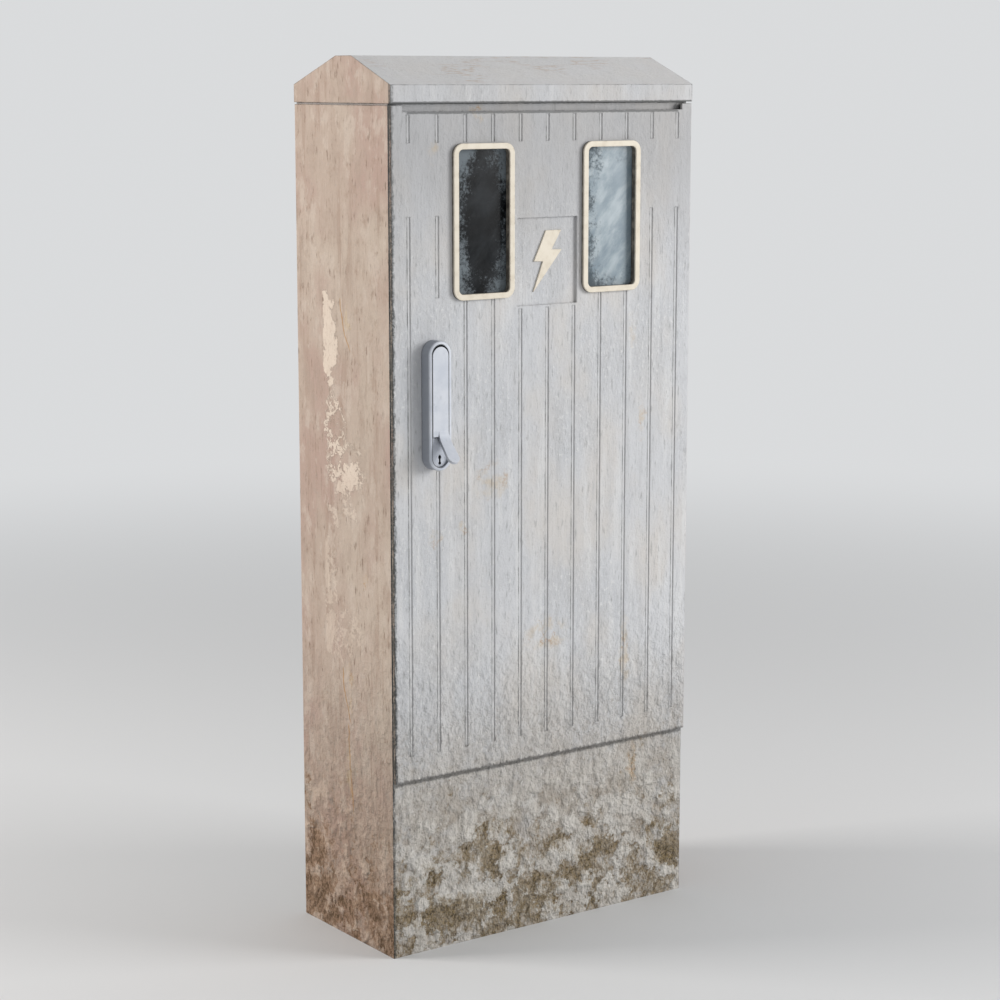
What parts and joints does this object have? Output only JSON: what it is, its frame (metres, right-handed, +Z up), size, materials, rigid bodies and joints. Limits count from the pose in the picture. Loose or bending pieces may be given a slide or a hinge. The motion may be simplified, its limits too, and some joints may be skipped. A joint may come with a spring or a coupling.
{
  "type": "roadside fuse cabinet",
  "caption": "Tall free-standing outdoor fuse and meter cabinet with a pitched roof, ribbed hinged door, two viewing windows, fold-out lever and rod lock.",
  "frame": {"origin": "middle of the footprint, on the ground", "axes": "+Z up, the door faces -Y, the hinge side is +X"},
  "size_m": [0.59, 0.3352, 1.42],
  "materials": {
    "shell": "weathered glass-fibre moulding",
    "frame_cream": "worn cream moulding",
    "pane_dark": "dark pane with grimy edges",
    "pane_pale": "hazed pane with grimy edges",
    "rubber": "matt sponge rubber",
    "handle_grey": "blue-grey powder coat",
    "zinc_steel": "dull zinc plate",
    "copper": "tarnished copper",
    "ceramic": "glazed ceramic",
    "pale_plastic": "pale grey moulding",
    "dark_plastic": "dark grey moulding"
  },
  "bodies": {
    "cabinet": {"left_wall": "shell", "right_wall": "shell", "rear_wall": "shell", "roof": "shell", "base_frame": "zinc_steel", "plinth_panel": "shell", "sill": "shell", "top_frame": "shell", "roof_bolts": "zinc_steel", "body_gasket": "rubber", "hinge_brackets": "zinc_steel", "hinge_pins": "zinc_steel", "mounting_plate": "zinc_steel", "plate_spacers": "pale_plastic", "plate_bolts": "zinc_steel", "busbar_supports": "dark_plastic", "busbar_l1": "copper", "busbar_l2": "copper", "busbar_l3": "copper", "neutral_supports": "dark_plastic", "neutral_bar": "copper", "contact_jaws": "copper", "fuse_links": "ceramic", "fuse_base_1": "dark_plastic", "fuse_base_2": "dark_plastic", "fuse_base_3": "dark_plastic", "fuse_base_4": "dark_plastic", "fuse_lid_1": "pale_plastic", "fuse_lid_2": "pale_plastic", "fuse_lid_3": "pale_plastic", "fuse_lid_4": "pale_plastic", "left_meter_base": "dark_plastic", "left_meter_cover": "pale_plastic", "left_terminal_cover": "pale_plastic", "right_meter_base": "dark_plastic", "right_meter_cover": "pale_plastic", "right_terminal_cover": "pale_plastic", "clamp_rail": "zinc_steel", "cable_clamps": "dark_plastic"},
    "door": {"door_panel": "shell", "hinge_arms": "zinc_steel", "left_window_frame": "frame_cream", "right_window_frame": "frame_cream", "left_window_seal": "rubber", "right_window_seal": "rubber", "left_window_pane": "pane_dark", "right_window_pane": "pane_pale", "left_pane_retainer": "pale_plastic", "right_pane_retainer": "pale_plastic", "handle_housing": "handle_grey", "lever_pin": "zinc_steel", "lock_case": "zinc_steel", "lock_cover": "zinc_steel", "rod_guides": "dark_plastic"},
    "lever": {"handle_lever": "handle_grey"},
    "key_lock": {"lock_cylinder": "zinc_steel", "lock_pinion": "zinc_steel"},
    "upper_rod": {"upper_lock_rod": "zinc_steel"},
    "lower_rod": {"lower_lock_rod": "zinc_steel"}
  },
  "joints": [
    {"name": "door_hinge", "type": "hinge", "parent": "cabinet", "child": "door", "pos_m": [0.284, -0.107, 0.8175], "axis": [0, 0, 1], "range_deg": [0, 105]},
    {"name": "lever_pivot", "type": "hinge", "parent": "door", "child": "lever", "pos_m": [-0.2205, -0.156, 0.97025], "axis": [-1, 0, 0], "range_deg": [0, 35]},
    {"name": "lock_turn", "type": "hinge", "parent": "door", "child": "key_lock", "pos_m": [-0.2205, -0.1235, 0.803], "axis": [0, 1, 0], "range_deg": [0, 90]},
    {"name": "upper_rod_slide", "type": "slide", "parent": "door", "child": "upper_rod", "axis": [0, 0, 1], "range_m": [0, 0.014]},
    {"name": "lower_rod_slide", "type": "slide", "parent": "door", "child": "lower_rod", "axis": [0, 0, -1], "range_m": [0, 0.0142]}
  ],
  "couplings": [
    {"joint": "lock_turn", "follows": "upper_rod_slide", "rad_per_m": 111.11},
    {"joint": "lower_rod_slide", "follows": "upper_rod_slide", "ratio": 1}
  ]
}
